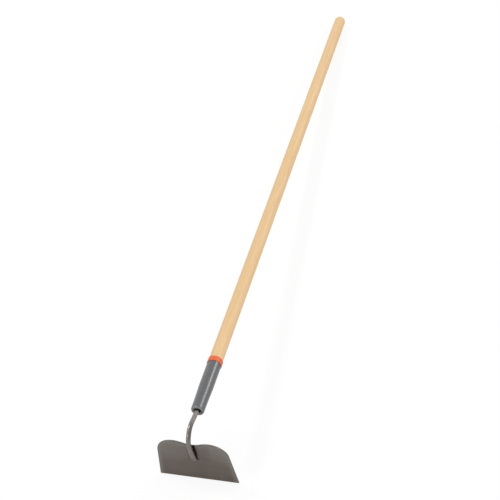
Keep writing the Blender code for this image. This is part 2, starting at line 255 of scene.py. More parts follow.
def buildStick():
    # Profile from the tang's blind hole, over the tenon and shoulder, along the taper to the dome
    bore = rod["radius"] + fit
    boreEnd = tangEnd + fit
    tip = rod["radius"] * rod["tipShare"] + fit
    chamfer = stick["chamfer"]
    start = stick["start"]
    tenon = np.linspace(start + chamfer, tube["drawLength"], 16)
    domeStart = gripTip - stick["gripRadius"] - stick["trim"]
    first = shoulder + chamfer
    length = np.linspace(first, domeStart, int((domeStart - first) / stick["step"]))
    narrowing = (length - first) / (domeStart - first)
    taper = stick["radius"] + (stick["gripRadius"] - stick["radius"]) * narrowing
    profile = np.concatenate([
        [(boreEnd, 0), (boreEnd, tip), (boreEnd - rod["tangPoint"], bore), (start, bore)],
        [(start, tenonRadius(start) - chamfer)],
        np.stack([tenon, tenonRadius(tenon)], axis=-1),
        [(shoulder, tenonRadius(shoulder)), (shoulder, stick["radius"] - chamfer)],
        np.stack([length, taper], axis=-1),
        arcLine((domeStart, 0), stick["gripRadius"], 90, 0, 28)[1:],
    ])
    profile[-1, 1] = 0
    points, quads, triangles = turned(profile, stick["sides"])
    # inside the ferrule the wood is painted near black: painted shade
    hidden = profile[1:-1, 0] < collarTop
    return makePiece("ash_stick", points, quads, triangles,
                     glued=np.append(np.repeat(hidden, stick["sides"]), [1, 0]))


nail = {
    "inset": 0.029,
    "radius": 0.0015,
    "depth": 0.008,
    "point": 0.002,
    "headRadius": 0.0028,
    "headHeight": 0.0009,
    "sides": 48,
}


def buildNail():
    # Turned like a stick from its point to its domed head, then stood out of the ferrule's underside
    seat = float(tubeRadius(tube["length"] - nail["inset"])) + fit
    angle = np.linspace(0, np.pi / 2, 10)[1:]
    tip = seat - nail["depth"]
    profile = np.concatenate([
        [(tip, 0), (tip, nail["radius"] / 3), (tip + nail["point"], nail["radius"])],
        [(seat, nail["radius"]), (seat, nail["headRadius"])],
        np.stack([seat + nail["headHeight"] * np.sin(angle), nail["headRadius"] * np.cos(angle)], axis=-1),
    ])
    profile[-1, 1] = 0
    points, quads, triangles = turned(profile, nail["sides"])
    x, along, high = points.T
    stood = np.stack([x, tube["length"] - nail["inset"] + high, -along], axis=-1)
    return makePiece("ferrule_nail_head", stood, quads, triangles)


plate = {
    "width": 0.1624,
    "height": 0.1201,
    "thickness": 0.0032,
    "angle": math.radians(85.25),  # to the stick
    "reach": 0.0514,  # edge ahead of the ferrule
    "axisAbove": 0.0317,  # stick's axis over the dipped top edge
    "crest": 0.0364,  # from the middle to the top of each shoulder
    "dip": 0.0077,
    "taper": math.radians(5.6),
    "corner": 0.002,
    "grind": 0.0038,
    "land": 0.0007,
    "rounding": 0.0003,  # of the sheared edges
    "wave": 0.00005,  # how far a pressed sheet is from flat
    "shearReach": 0.0007,  # of the dark edge that the shears leave, with painted edge shade
    "marginReach": 0.0065,  # of the paler margin beside it
    "marginShare": 0.75,
    "heatReach": (0.036, 0.008),  # of the weld's tint, right and left of the foot; the left one is also painted shade
    "heatStart": (-0.021, 0.018),  # where the tint starts and grows, from the foot's upper end
}
dipHeight = plate["height"] - plate["dip"]
edgeDrop = plate["axisAbove"] + dipHeight * math.sin(plate["angle"])


def onBlade(across, up, out):
    # A point in the blade's own terms: x, height above the edge, distance off the outer face.
    # The blade's height runs at its angle to the stick, and outwards is square to that.
    sine, cosine = math.sin(plate["angle"]), math.cos(plate["angle"])
    across, up, out = np.broadcast_arrays(across, up, out)
    return np.stack([across, -plate["reach"] - up * cosine - out * sine,
                     -edgeDrop + up * sine - out * cosine], axis=-1)


# The hoe lies on the far lower corner of its edge and on the round grip: the line from that
# corner to the grip's centre drops by the corner's depth, less the angle the grip's radius makes
rearEdge = onBlade(0.0, 0.0, -plate["thickness"])
reachToGrip = gripTip - stick["gripRadius"] - rearEdge[1]
tilt = math.atan2(-rearEdge[2], reachToGrip) - math.asin(
    stick["gripRadius"] / math.hypot(reachToGrip, rearEdge[2]))
turn = np.array(Matrix.Rotation(-tilt, 3, "X"))
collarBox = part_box("collar")
anchor = np.array((collarBox[0] + collarBox[1]) / 2)
origin = anchor - turn @ np.array([0, (collarLow + collarTop) / 2, 0])


def layDown(points):
    # From the hoe's own place to the floor: turned by the tilt, then moved
    return points @ turn.T + origin


def topLine(inset, perHalf):
    # Half of the blade's top edge, from its middle to where the shoulder meets the side: a half
    # wave from the dip to the crest, then an arc. Its radius follows from touching the crest's
    # height and the tapered side. Each point is then drawn in square to the line.
    sine, cosine = math.sin(plate["taper"]), math.cos(plate["taper"])
    half = plate["width"] / 2
    radius = (cosine * (half - plate["crest"]) - sine * plate["height"]) / (1 - sine)
    share = np.linspace(0, 1, perHalf)
    x = plate["crest"] * share
    dip = np.stack([x, plate["height"] - plate["dip"] * (1 - eased(share))], axis=-1)
    slope = plate["dip"] * np.pi / plate["crest"] / 2 * np.sin(np.pi * share)
    normal = np.stack([-slope, np.ones_like(x)], axis=-1) / np.sqrt(1 + slope ** 2)[:, None]
    angle = np.linspace(np.pi / 2, plate["taper"], perHalf)[1:, None]
    spoke = np.concatenate([np.cos(angle), np.sin(angle)], axis=-1)
    arc = np.array([plate["crest"], plate["height"] - radius]) + spoke * radius
    return np.concatenate([dip - normal * inset, arc - spoke * inset])


def bladeGrid(inset, heights, rows, perHalf):
    # Points over the blade's face as (x, height): the lower rows keep fixed heights, so that the
    # ground edge follows one of them, and the others share out the way up to the top edge.
    # Each column runs straight from the cutting edge to its point of the top edge.
    half = plate["width"] / 2
    tan, sine, cosine = (ratio(plate["taper"]) for ratio in (math.tan, math.sin, math.cos))
    top = topLine(inset, perHalf)
    low = np.maximum(np.asarray(heights), inset)
    low[0] = inset
    up = np.concatenate([np.repeat(low[:, None], len(top), 1),
                         low[-1] + (top[:, 1] - low[-1]) * np.linspace(0, 1, rows + 1)[1:, None]])
    sideAt = half - inset / cosine - up * tan
    sideTop = half - inset / cosine - top[-1, 1] * tan
    bottom = top[:, 0] * (half - inset / cosine) / sideTop
    x = bottom + (top[:, 0] - bottom) * up / top[:, 1]
    # the lower corners are round: below their height the side gives way to a small arc
    radius = plate["corner"]
    cornerX = half - radius * (1 + sine) / cosine
    depth = np.clip(radius - up, 0, radius - inset)
    limit = cornerX + np.sqrt(np.maximum((radius - inset) ** 2 - depth ** 2, 0))
    x = x * np.where(up < radius, np.minimum(limit / sideAt, 1), 1)
    return np.concatenate([np.stack([-x[:, :0:-1], up[:, :0:-1]], -1), np.stack([x, up], -1)], axis=1)


def rimOf(grid):
    # The outline of a grid as one closed line: along the bottom, up, back along the top and down
    return np.concatenate([grid[0, :-1], grid[:-1, -1], grid[-1, :0:-1], grid[:0:-1, 0]])


def faceHeight(x, up, across):
    # How far a face lies off its plane: the ground bevel falls evenly on the front, where across is
    # 1, and both faces have the waves of a pressed sheet, 4 to 10 cm long
    fall = (plate["thickness"] - plate["land"]) * np.clip(1 - up / plate["grind"], 0, 1)
    wave = np.sin(x * 61 + 1.3) * np.sin(up * 83 + 0.7) + 0.5 * np.sin(x * 140 - up * 97)
    return -fall * across + plate["wave"] * (wave - 1.5)


def onFace(grid, across, drop):
    # Points of a grid laid on the front, where across is 1, or on the back, where it is 0
    x, up = grid[..., 0], grid[..., 1]
    out = faceHeight(x, up, across) - plate["thickness"] * (1 - across) + drop
    return onBlade(x, up, out)


def burntFace(points):
    # Burnt scale from the weld, with the leg's painted shadow, under the leg and past the foot's flanks,
    # most above the foot
    above = (points[:, 1] - footStart) / foot["length"]
    fullAt = (1 - bead["scorchShare"]) / bead["scorchGain"]
    spread = (np.clip(bead["scorchShare"] + bead["scorchGain"] * above, 0, 1)
              - bead["scorchLoss"] * np.clip((above - fullAt) / bead["scorchFade"], 0, 1))
    reach = foot["width"] / 2 + bead["scorch"] * spread + bead["scorchSoft"] / 2
    return ramp(np.abs(points[:, 0]), reach, -bead["scorchSoft"]) * ramp(above, *bead["scorchStart"])


def heatedFace(points):
    # The heat also left a faint violet tint beside the foot, further out on the right; on the left it is
    # also painted shade beside the foot's flank
    reach = np.where(points[:, 0] > 0, *plate["heatReach"])
    beside = ramp(np.abs(points[:, 0]) - foot["width"] / 2, reach, -reach / 2)
    return beside * ramp(points[:, 1] - footStart, *plate["heatStart"])


def toOutline(points):
    # Distance from points of the face to the top edge, by its nearest point, or to the tapered side
    top = topLine(0, 400)
    top = np.concatenate([top, top * [-1, 1]])
    toTop = np.sqrt(((points[:, None, :] - top[None, :, :]) ** 2).sum(-1)).min(1)
    side = plate["width"] / 2 - points[:, 1] * math.tan(plate["taper"]) - np.abs(points[:, 0])
    return np.minimum(toTop, side * math.cos(plate["taper"]))


def buildBlade():
    # Front and back are grids, and small quarter rounds and the sheared side are carried round
    # the outline between them. The outer face falls away below the grind's height.
    share = np.array([0, 0.02, 0.07, 0.13, 0.23, 0.33, 0.47, 0.6, 0.73, 0.87, 0.95, 1, 1.05, 1.17])
    heights = plate["grind"] * share
    rows, perHalf = 44, 44
    rounding = plate["rounding"]
    inner = bladeGrid(rounding, heights, rows, perHalf)
    shape = inner.shape[:2]
    front = onFace(inner, 1, 0)
    back = onFace(inner, 0, 0)
    turnBy = np.radians(np.linspace(0, 90, 5)[1:])
    loops, outlines = [], []
    for across, order in ((1, turnBy), (0, turnBy[::-1])):
        for step in order:
            inset = rounding * (1 - math.sin(step))
            drop = rounding * (1 - math.cos(step)) * (-1 if across else 1)
            outlines.append(rimOf(bladeGrid(inset, heights, rows, perHalf)))
            loops.append(onFace(outlines[-1], across, drop))
    edge = np.stack(loops)
    index = np.arange(shape[0] * shape[1]).reshape(shape)
    frontRim = rimOf(index[..., None])[:, 0]
    count = front[..., 0].size
    loopStart = 2 * count
    steps = edge.shape[1]
    strips = faceGrid(len(loops), steps) + loopStart
    line = np.arange(steps)
    onward = np.roll(line, -1)
    intoFront = np.stack([frontRim, frontRim[onward], loopStart + onward, loopStart + line], -1)
    lastLoop = loopStart + (len(loops) - 1) * steps
    backRim = frontRim + count
    intoBack = np.stack([lastLoop + line, lastLoop + onward, backRim[onward], backRim], -1)
    faces = faceGrid(*shape, closeColumns=False)
    quads = np.concatenate([faces[:, ::-1], faces + count, strips[:, ::-1], intoFront[:, ::-1],
                            intoBack[:, ::-1]])
    points = np.concatenate([front.reshape(-1, 3), back.reshape(-1, 3), edge.reshape(-1, 3)])
    # marks near the outline, and whether a point lies on the ground bevel
    flat = inner.reshape(-1, 2)
    near = toOutline(flat)
    rim = edge[..., 0].size
    sheared = np.exp(-(near / plate["shearReach"]) ** 2)
    margin = plate["marginShare"] * np.exp(-(near / plate["marginReach"]) ** 2)
    ground = (flat[:, 1] < plate["grind"] - 1e-6).astype(float)
    return makePiece(
        "pressed_blade", points, quads, crease=24,
        sheared=np.concatenate([sheared, sheared, np.ones(rim)]),
        margin=np.concatenate([margin, margin, np.full(rim, plate["marginShare"])]),
        ground=np.concatenate([ground, np.zeros(count + rim)]),
        tinted=np.concatenate([heatedFace(flat), np.zeros(count + rim)]),
        scorch=np.concatenate([burntFace(flat), np.zeros(count), burntFace(np.concatenate(outlines))]))


rod = {
    "radius": 0.00475,
    "tang": 0.060,  # length inside the wood
    "tangPoint": 0.010,
    "tipShare": 0.55,
    "rise": math.radians(10),  # how steeply it rises before the bend
    "elbowShare": 0.35,  # of the room inside the ferrule, for the turn into the rise
    "bend": 0.0295,
    "lean": math.radians(7),  # between the leg and the blade
    "spread": 0.5,  # share of the leg over which forging widens it
    "dent": 0.00006,  # depth of the marks that forging leaves
    "dentLengths": (0.0067, 0.0171, 0.0113),
    "thirdDent": 0.6,  # depth of the third wave beside the other two
    "dentStart": 0.012,  # past the wood
    "sides": 72,
    # start and growth of the marks and painted shade on the steel, or their end and fading: by the distance
    # from the toe, by the sine or cosine of the angle round the rod, or by the place along the stick
    "brownEnd": (0.0528, -0.024),
    "burntStart": (0.004, 0.003),
    "burntEnd": (0.052, -0.012),
    "burntSine": (0.54, -0.3),
    "scaleStart": (0.068, 0.014),
    "scaleEnd": (0.118, -0.02),
    "scaleCosine": (-0.1, 0.4),
    "scaleShare": 0.7,
    "greaseStart": (-0.0019, 0.0014),
    "greaseSlant": 0.3,  # further out on the right
}

foot = {
    "drop": 0.0325,  # from the dipped top edge down to where the foot first touches
    "length": 0.015,
    "width": 0.0124,
    "thickness": 0.0058,
    "toeLength": 0.005,
    "toeHeight": 0.0016,
    "topSquareness": 3.2,  # power of the upper half's section, 2 is round
    "baseSquareness": 6,
    "baseFlatness": 1.3,
}

tangEnd = stick["start"] + rod["tang"]
elbow = stick["start"] / 2
mouthRadius = rod["radius"] / math.cos(rod["rise"]) + elbow * math.tan(rod["rise"]) + tube["mouthAir"]
footStart = dipHeight - foot["drop"]
footMiddle = fit + foot["thickness"] / 2
toeShare = 1 - foot["toeLength"] / foot["length"]
heel = onBlade(0.0, footStart, footMiddle)[1:]  # middle of the foot's upper end, seen from the side


def leftOf(direction):
    # The direction turned by a quarter turn to the left
    return np.stack([-direction[..., 1], direction[..., 0]], axis=-1)


def bendLine(corner, before, after, radius, steps):
    # Arc that leaves the first line and joins the second: the direction turns evenly from one to
    # the other, and each point lies one radius to the side of it from the arc's centre
    swing = math.atan2(before[0] * after[1] - before[1] * after[0], before @ after)
    side = math.copysign(1, swing)
    start = corner - before * radius * math.tan(abs(swing) / 2)
    centre = start + leftOf(before) * radius * side
    angle = swing * np.linspace(0, 1, steps + 1)[:, None]
    direction = before * np.cos(angle) + leftOf(before) * np.sin(angle)
    return centre - leftOf(direction) * radius * side, direction


def footPlan(share):
    # Half width of the foot: full, then the quarter ellipses of its round toe
    pastStraight = np.clip((share - toeShare) / (1 - toeShare), 0, 1)
    return foot["width"] / 2 * np.sqrt(1 - pastStraight ** 2)


def footRise(share):
    # Half height of the foot: half a wave from its full thickness down to the toe
    return foot["thickness"] / 2 + (foot["toeHeight"] - foot["thickness"]) / 2 * eased(share)


def forgedRings(up, middle, halfWidth, halfHeight, forged, angle):
    # Sections square to the blade: superellipses whose powers grow from 2, which is round, to
    # those of the flat foot, more below than above
    up, middle, halfWidth, halfHeight, forged = (
        part[:, None] for part in np.broadcast_arrays(up, middle, halfWidth, halfHeight, forged))
    cosine, sine = np.cos(angle), np.sin(angle)
    below = sine < -1e-9
    squareness = np.where(below, foot["baseSquareness"], foot["topSquareness"])
    power = 2 / (2 + (squareness - 2) * forged)
    flatness = 1 + (foot["baseFlatness"] - 1) * forged
    across = np.sign(cosine) * np.abs(cosine) ** power
    high = np.abs(sine) ** power
    high = np.where(below, -np.minimum(1, flatness * high), high)
    return onBlade(halfWidth * across, up, middle + halfHeight * high)


def bentRings(angle):
    # A circle carried along the rod's centre line: tang, short elbow, rising run and swan bend.
    # The bend's corner is where the rising line meets the line that runs up the leg.
    inward = np.array([-1.0, 0.0])
    rising = np.array([-math.cos(rod["rise"]), math.sin(rod["rise"])])
    legAngle = plate["angle"] - rod["lean"]
    leg = np.array([math.cos(legAngle), -math.sin(legAngle)])
    first = np.array([elbow, 0.0])
    gap = heel - first
    along = (gap[0] * leg[1] - gap[1] * leg[0]) / (rising[0] * leg[1] - rising[1] * leg[0])
    elbowRadius = rod["elbowShare"] * stick["start"] / math.tan(rod["rise"] / 2)
    turnIn, turnInWay = bendLine(first, inward, rising, elbowRadius, 6)
    swan, swanWay = bendLine(first + rising * along, rising, leg, rod["bend"], 72)
    run = turnIn[-1] + (swan[0] - turnIn[-1]) * np.linspace(0, 1, 14)[1:-1, None]
    tang = np.array([[tangEnd, 0], [tangEnd - rod["tangPoint"], 0], [stick["start"], 0]])
    centre = np.concatenate([tang, turnIn, run, swan])
    way = np.concatenate([np.tile(inward, (3, 1)), turnInWay, np.tile(rising, (len(run), 1)), swanWay])
    radius = np.full((len(centre), 1), rod["radius"])
    radius[0] *= rod["tipShare"]
    outward = -leftOf(way)
    x = radius * np.cos(angle)
    y = centre[:, :1] + outward[:, :1] * radius * np.sin(angle)
    z = centre[:, 1:] + outward[:, 1:] * radius * np.sin(angle)
    return np.stack([x, y, z], axis=-1), swan[-1]


def dented(rings, travel, angle, bare):
    # Forging leaves shallow dents: where the rod is bare, each ring is drawn towards its middle by
    # a few waves along and round it
    first, second, third = (2 * np.pi * travel / length for length in rod["dentLengths"])
    waves = (np.sin(first + 2 * angle) * np.sin(second - angle)
             + rod["thirdDent"] * np.sin(third + 3 * angle + 1))
    draw = rod["dent"] * (waves - 1 - rod["thirdDent"]) * bare / rod["radius"]
    middle = rings.mean(axis=1, keepdims=True)
    return middle + (rings - middle) * (1 + draw[..., None])


def buildNeck():
    # The bent rod, its leg and its foot are one row of rings
    angle = 2 * np.pi * np.arange(rod["sides"]) / rod["sides"]
    bent, bendEnd = bentRings(angle)
    # the straight leg widens and flattens on its way down to where the foot begins
    legShare = np.linspace(0, 1, 34)[1:-1]
    left = np.linalg.norm(heel - bendEnd) * (1 - legShare)
    widened, flattened = eased(legShare / rod["spread"]), eased(legShare)
    straight = forgedRings(
        footStart + left * math.cos(rod["lean"]), footMiddle + left * math.sin(rod["lean"]),
        rod["radius"] + (foot["width"] / 2 - rod["radius"]) * widened,
        rod["radius"] + (foot["thickness"] / 2 - rod["radius"]) * flattened, flattened, angle)
    share = np.concatenate([np.linspace(0, toeShare, 20),
                            toeShare + (1 - toeShare) * np.sin(np.radians(np.linspace(6, 88, 14)))])
    rise = footRise(share)
    onPlate = forgedRings(footStart - foot["length"] * share, fit + rise, footPlan(share), rise, 1.0, angle)
    rings = np.concatenate([bent, straight, onPlate])
    steps = np.linalg.norm(np.diff(rings.mean(axis=1), axis=0), axis=-1)
    travel = np.concatenate([[0], np.cumsum(steps)])[:, None]
    bare = (travel > rod["tang"] + rod["dentStart"]) & (travel < travel[-len(share)])
    rings = dented(rings, travel, angle, bare)
    # brown where the weld heated it; burnt black along both sides of the foot, with painted shade
    # of the corner there; painted shade along the bend's right flank, and painted shade inside the ferrule
    left = travel[-1] - travel
    browned = ramp(left, *rod["brownEnd"]) * np.ones(len(angle))
    burnt = (ramp(left, *rod["burntStart"]) * ramp(left, *rod["burntEnd"])
             * ramp(np.sin(angle), *rod["burntSine"]))
    # painted shade: the bend's right flank is darkened
    scaled = (ramp(left, *rod["scaleStart"]) * ramp(left, *rod["scaleEnd"])
              * ramp(np.cos(angle), *rod["scaleCosine"]))
    # painted shade: inside the ferrule's mouth the rod is near black, further out on the right
    greased = ramp(rings[..., 1] + rod["greaseSlant"] * rings[..., 0], *rod["greaseStart"])
    scorch = np.maximum(np.maximum(burnt, rod["scaleShare"] * scaled), greased)
    return makePiece("forged_neck", *capped(rings), crease=50,
                     browned=np.append(browned, [0, 1]), scorch=np.append(scorch, [1, 0]))


bead = {
    "width": 0.0022,
    "height": 0.0020,
    "start": 0.15,
    "startSize": 0.12,
    "swell": 0.27,  # share of its length over which it grows
    "ripple": 0.0011,  # distance between the ripples of the weld pool
    "rippleDepth": 0.10,
    "stations": 90,
    "burntEnd": (0.78, -0.2),  # share of the foot's length, and fading
    "scorch": 0.0028,  # how far the burnt face and the leg's painted shadow reach past the foot's flanks
    "scorchSoft": 0.001,  # width of its edge
    "scorchStart": (-0.76, 0.16),  # from here on in foot lengths, up from the foot's upper end
    "scorchShare": 0.55,  # of its full reach at that end
    "scorchGain": 0.75,  # for each foot length further up
    "scorchLoss": 0.5,  # that it then loses again
    "scorchFade": 1.2,  # over so many foot lengths
}


def buildWeld(name, side):
    # A quarter ellipse carried along the foot's flank and round its toe: it grows over its first
    # part, and its width and height swell and shrink with the ripples of the weld pool
    full = foot["width"] / 2
    straightShare = np.linspace(bead["start"], toeShare, bead["stations"] // 2)[:-1]
    turnBy = np.linspace(0, np.pi / 2, bead["stations"] - len(straightShare))
    toeTop = footStart - foot["length"] * toeShare
    across = np.concatenate([footPlan(straightShare), full * np.cos(turnBy)])
    up = np.concatenate([footStart - foot["length"] * straightShare,
                         toeTop - foot["toeLength"] * np.sin(turnBy)])
    outward = np.stack([np.cos(turnBy) / full, -np.sin(turnBy) / foot["toeLength"]], -1)
    outward /= np.linalg.norm(outward, axis=-1, keepdims=True)
    outward = np.concatenate([np.tile([1.0, 0.0], (len(straightShare), 1)), outward])
    share = np.concatenate([straightShare, toeShare + (1 - toeShare) * np.sin(turnBy)])
    travel = np.concatenate([[0], np.cumsum(np.hypot(np.diff(across), np.diff(up)))])
    swell = np.minimum(1, bead["startSize"] + travel / (bead["swell"] * travel[-1]))
    phase = travel / bead["ripple"]
    pulse = 1 - bead["rippleDepth"] * (phase - np.floor(phase)) ** 2
    high = np.minimum(bead["height"] * swell, footRise(share)) * pulse
    wide = bead["width"] * swell * pulse
    angle = np.linspace(0, np.pi / 2, 12)
    off = np.concatenate([[0], np.sin(angle)])
    lift = np.concatenate([[0], np.cos(angle)])
    reach = fit + wide[:, None] * off
    x = side * (across[:, None] + outward[:, :1] * reach + fit / 2)
    rings = onBlade(x, up[:, None] + outward[:, 1:] * reach, fit + high[:, None] * lift)
    # the bead is near black along the flank: burnt metal and painted shade of the corner
    scorch = ramp(share, *bead["burntEnd"])
    return makePiece(name, *capped(rings), crease=60,
                     scorch=np.append(np.repeat(scorch, rings.shape[1]), [1, 0]))


def toLinear(hexCode):
    # sRGB hex to the linear colour that a shader takes
    value = np.array([int(hexCode[k:k + 2], 16) for k in (0, 2, 4)]) / 255
    linear = np.where(value <= 0.04045, value / 12.92, ((value + 0.055) / 1.055) ** 2.4)
    return (*linear.tolist(), 1.0)


def plug(tree, node, links):
    # Feeds a node's sockets; a node named as the source stands for its first output
    for socket, source in links.items():
        tree.links.new(source if isinstance(source, bpy.types.NodeSocket) else source.outputs[0],
                       node.inputs[socket])


def addNode(tree, kind, sockets=None, links=None, stops=None, **settings):
    # One shader node with its settings, socket values and what feeds it. The first two colour
    # stops are those that a new ramp has, and the others are added.
    node = tree.nodes.new("ShaderNode" + kind)
    for name, value in settings.items():
        setattr(node, name, value)
    for socket, value in (sockets or {}).items():
        node.inputs[socket].default_value = value
    plug(tree, node, links or {})
    for place, (position, hexCode) in enumerate(stops or []):
        stop = node.color_ramp.elements[place] if place < 2 else node.color_ramp.elements.new(position)
        stop.position = position
        stop.color = toLinear(hexCode)
    return node


def newMaterial(name, sockets=None):
    # A principled material with the given values in its shader's sockets
    material = bpy.data.materials.new(name)
    material.use_nodes = True
    shader = material.node_tree.nodes["Principled BSDF"]
    for socket, value in (sockets or {}).items():
        shader.inputs[socket].default_value = value
    return material, material.node_tree, shader


def overlaid(tree, attributeName, below, above, **settings):
    # One colour over another, by the share that the mesh holds under a name. The upper colour is
    # a hex code or a node.
    share = addNode(tree, "Attribute", attribute_name=attributeName)
    sockets, links = ({7: toLinear(above)}, {}) if isinstance(above, str) else ({}, {7: above})
    links.update({0: share.outputs["Fac"], 6: below})
    return addNode(tree, "Mix", sockets, links, data_type="RGBA", **settings).outputs[2]


def ownPlace(tree):
    # Object coordinates turned back to the hoe's own place, so that y runs along the stick
    coordinate = addNode(tree, "TexCoord")
    return addNode(tree, "Mapping", {"Location": tuple(origin), "Rotation": (-tilt, 0, 0)},
                   {"Vector": coordinate.outputs["Object"]}, vector_type="TEXTURE")


def lacqueredAsh():
    # Ash, turned and clear-lacquered: pale, with straight faint year lines, short fibres along the
    # stick, slow warm and pale streaks, and a satin skin that follows the pores
    material, tree, shader = newMaterial("lacquered_ash")
    place = ownPlace(tree)
    # the tree's middle lay about 6 cm to the side, and its year rings are about 2.4 mm wide; they
    # wander by a few millimetres over a forearm's length. A wave of scale 1 has one ring in
    # 2 pi / 20 metres.
    slow = addNode(tree, "Mapping", {"Scale": (7, 2.4, 7)}, {"Vector": place})
    wander = addNode(tree, "TexNoise", {"Scale": 1.0}, {"Vector": slow})
    centred = addNode(tree, "VectorMath", {1: (0.5, 0.5, 0.5)}, {0: wander.outputs["Color"]},
                      operation="SUBTRACT")
    drift = addNode(tree, "VectorMath", {1: (0.012, 0, 0.012)}, {0: centred}, operation="MULTIPLY")
    bent = addNode(tree, "VectorMath", {}, {0: place, 1: drift}, operation="ADD")
    pith = addNode(tree, "Mapping",
                   {"Location": (0.047, 0, 0.038), "Rotation": (0.004, 0, 0.009)}, {"Vector": bent})
    years = addNode(tree, "TexWave", {"Scale": 2 * math.pi / 20 / 0.0024, "Distortion": 1.4,
                                      "Detail": 2.0, "Detail Scale": 1.2},
                    {"Vector": pith}, wave_type="RINGS", rings_direction="Y", wave_profile="SAW")
    yearTone = addNode(tree, "ValToRGB", {}, {"Fac": years}, stops=[
        (0.0, "EAC797"), (1.0, "DFB77F"), (0.55, "E8C492"), (0.86, "E0B984")])
    # streaks 3 to 5 mm wide and 10 to 20 cm long, which show at the distance of the camera
    long = addNode(tree, "Mapping", {"Scale": (260, 7, 260), "Location": (3, 1, 7)}, {"Vector": place})
    streak = addNode(tree, "TexNoise", {"Scale": 1.0}, {"Vector": long})
    streakTone = addNode(tree, "ValToRGB", {}, {"Fac": streak}, stops=[
        (0.30, "E1BB86"), (0.72, "ECCC9F"), (0.5, "E7C391")])
    blended = addNode(tree, "Mix", {0: 0.5}, {6: yearTone, 7: streakTone}, data_type="RGBA")
    # fibres: the real ones are 0.2 mm wide; these are 0.7 mm, so that some of them show
    grain = addNode(tree, "Mapping", {"Scale": (1400, 24, 1400)}, {"Vector": place})
    fibre = addNode(tree, "TexNoise", {"Scale": 1.0, "Detail": 4.0, "Roughness": 0.6}, {"Vector": grain})
    fibreTone = addNode(tree, "ValToRGB", {}, {"Fac": fibre}, stops=[(0.3, "E2DBCF"), (0.62, "FFFFFF")])
    grained = addNode(tree, "Mix", {0: 0.5}, {6: blended.outputs[2], 7: fibreTone},
                      data_type="RGBA", blend_type="MULTIPLY")
    # painted shade: the wood inside the ferrule is near black
    stained = overlaid(tree, "glued", grained.outputs[2], "1E1610")
    gloss = addNode(tree, "MapRange", {"To Min": 0.44, "To Max": 0.6}, {"Value": fibre})
    bump = addNode(tree, "Bump", {"Strength": 0.35, "Distance": 0.0003}, {"Height": fibre})
    plug(tree, shader, {"Base Color": stained, "Roughness": gloss, "Normal": bump})
    return material


def coatedFerrule():
    # Drawn steel tube under a dark grey stove coat: a hard glossy skin over fine orange peel, a
    # slight mottle, and the coat rubbed thin on the rims, where paler metal shows
    material, tree, shader = newMaterial("stove_coated_steel",
                                         {"Coat Weight": 0.95, "Coat Roughness": 0.17})
    place = ownPlace(tree)
    # the mottle is 4 mm across and 9 mm along
    soft = addNode(tree, "Mapping", {"Scale": (240, 110, 240)}, {"Vector": place})
    mottle = addNode(tree, "TexNoise", {"Scale": 1.0, "Detail": 4.0, "Roughness": 0.6}, {"Vector": soft})
    tone = addNode(tree, "ValToRGB", {}, {"Fac": mottle}, stops=[(0.25, "444546"), (0.8, "515255")])
    # the rubbed spots are about 1 mm
    wear = addNode(tree, "Attribute", attribute_name="wear")
    chips = addNode(tree, "TexNoise", {"Scale": 900.0, "Detail": 4.0, "Roughness": 0.7}, {"Vector": place})
    worn = addNode(tree, "Math", {}, {0: wear.outputs["Fac"], 1: chips}, operation="MULTIPLY")
    wornAt = addNode(tree, "MapRange", {"From Min": 0.15, "From Max": 0.45}, {"Value": worn})
    rubbed = addNode(tree, "Mix", {7: toLinear("828486")}, {0: wornAt, 6: tone}, data_type="RGBA")
    # painted shade: the inside of the tube is near black
    inside = overlaid(tree, "hollow", rubbed.outputs[2], "0C0B09")
    gloss = addNode(tree, "MapRange", {"To Min": 0.34, "To Max": 0.46}, {"Value": mottle})
    # orange peel of a stove coat is 0.5 to 1 mm across
    peel = addNode(tree, "TexNoise", {"Scale": 1100.0, "Roughness": 0.4}, {"Vector": place})
    bump = addNode(tree, "Bump", {"Strength": 0.06, "Distance": 0.0001}, {"Height": peel})
    plug(tree, shader, {"Base Color": inside, "Roughness": gloss, "Normal": bump})
    return material


def mouldedCollar():
    # Polypropylene, injection moulded: even strong orange with a satin skin, a faint flow mottle
    # and a finely eroded surface from the mould
    material, tree, shader = newMaterial("moulded_polypropylene")
    place = ownPlace(tree)
    # the flow lines are 3 mm along and 8 mm round
    along = addNode(tree, "Mapping", {"Scale": (120, 300, 120)}, {"Vector": place})
    flow = addNode(tree, "TexNoise", {"Scale": 1.0, "Detail": 3.0}, {"Vector": along})
    tone = addNode(tree, "ValToRGB", {}, {"Fac": flow}, stops=[(0.25, "DC5C2C"), (0.8, "E66A36")])
    # the mould's erosion is 0.05 mm fine; this is 0.4 mm, so that some of it shows
    grit = addNode(tree, "TexNoise", {"Scale": 2500.0}, {"Vector": place})
    gloss = addNode(tree, "MapRange", {"To Min": 0.36, "To Max": 0.50}, {"Value": grit})
    bump = addNode(tree, "Bump", {"Strength": 0.2, "Distance": 0.0001}, {"Height": grit})
    plug(tree, shader, {"Base Color": tone, "Roughness": gloss, "Normal": bump})
    return material


scorchHex = "1C110D"  # nearly black: burnt scale beside a weld, and painted shade


